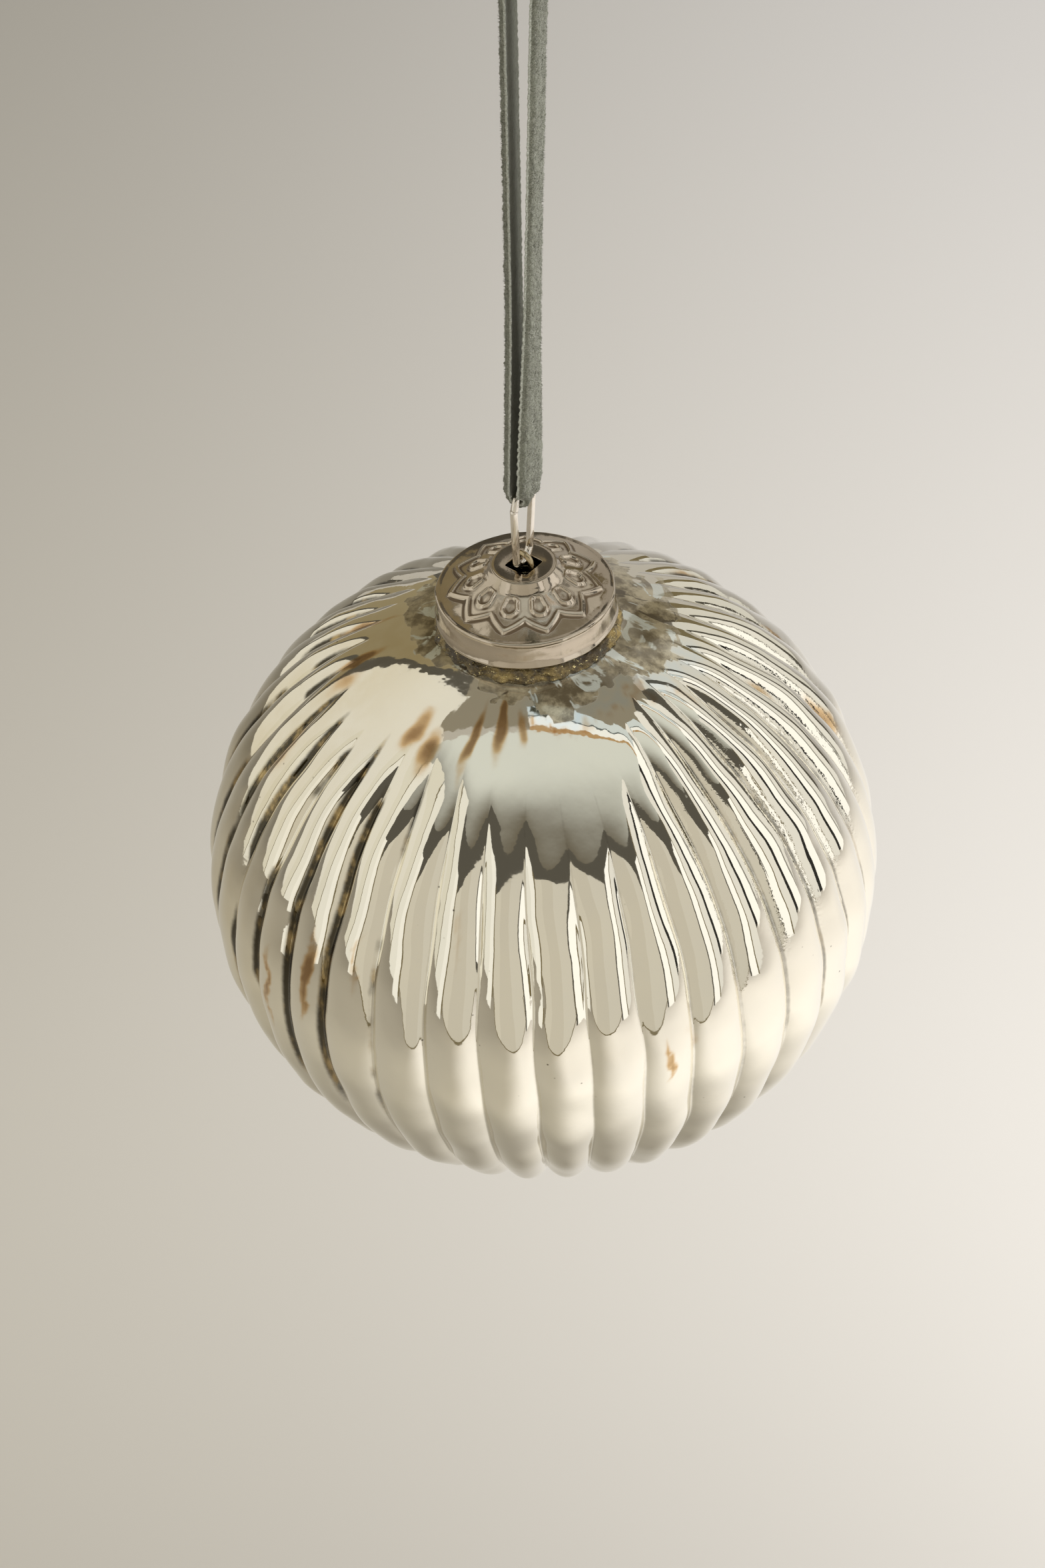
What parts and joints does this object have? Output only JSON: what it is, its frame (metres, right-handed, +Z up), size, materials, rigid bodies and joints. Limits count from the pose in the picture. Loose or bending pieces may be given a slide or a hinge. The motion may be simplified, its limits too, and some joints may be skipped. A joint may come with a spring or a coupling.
{
  "type": "glass ball ornament",
  "caption": "Ribbed ball ornament of silvered glass with a stamped metal cap, an eye pin, a wire hanger ring and a loop of velvet ribbon to hang it by.",
  "frame": {"origin": "the hang point: the inside top of the ribbon loop, just under its knot", "axes": "+Z up; the hanger ring lies in the plane X = 0, so the ribbon's flat faces look along X"},
  "size_m": [0.0995, 0.0998, 0.2139],
  "materials": {
    "silvered_glass": "gloss",
    "glue": "matte",
    "cap_metal": "satin",
    "polished_wire": "polished",
    "velvet": "matte"
  },
  "bodies": {
    "ribbon_loop": {"ribbon_left": "velvet", "ribbon_right": "velvet", "ribbon_knot": "velvet", "ribbon_tail_left": "velvet", "ribbon_tail_right": "velvet"},
    "hanger": {"hanger_ring": "polished_wire", "ribbon_fold": "velvet"},
    "eye": {"eye_pin": "polished_wire"},
    "ball": {"glass_ball": "silvered_glass", "neck_cement": "glue", "cap": "cap_metal"}
  },
  "joints": [
    {"name": "ribbon_bend", "type": "hinge", "parent": "ribbon_loop", "child": "hanger", "pos_m": [0, 0, -0.074], "axis": [0, 1, 0], "range_deg": [-45, 45]},
    {"name": "ball_swing", "type": "hinge", "parent": "hanger", "child": "eye", "pos_m": [0, 0, -0.096], "axis": [0.9693, -0.2424, 0.0407], "range_deg": [-25, 25]},
    {"name": "ball_spin", "type": "hinge", "parent": "eye", "child": "ball", "pos_m": [0, 0, -0.096], "axis": [-0.0474, -0.0221, 0.9986], "continuous": true}
  ]
}
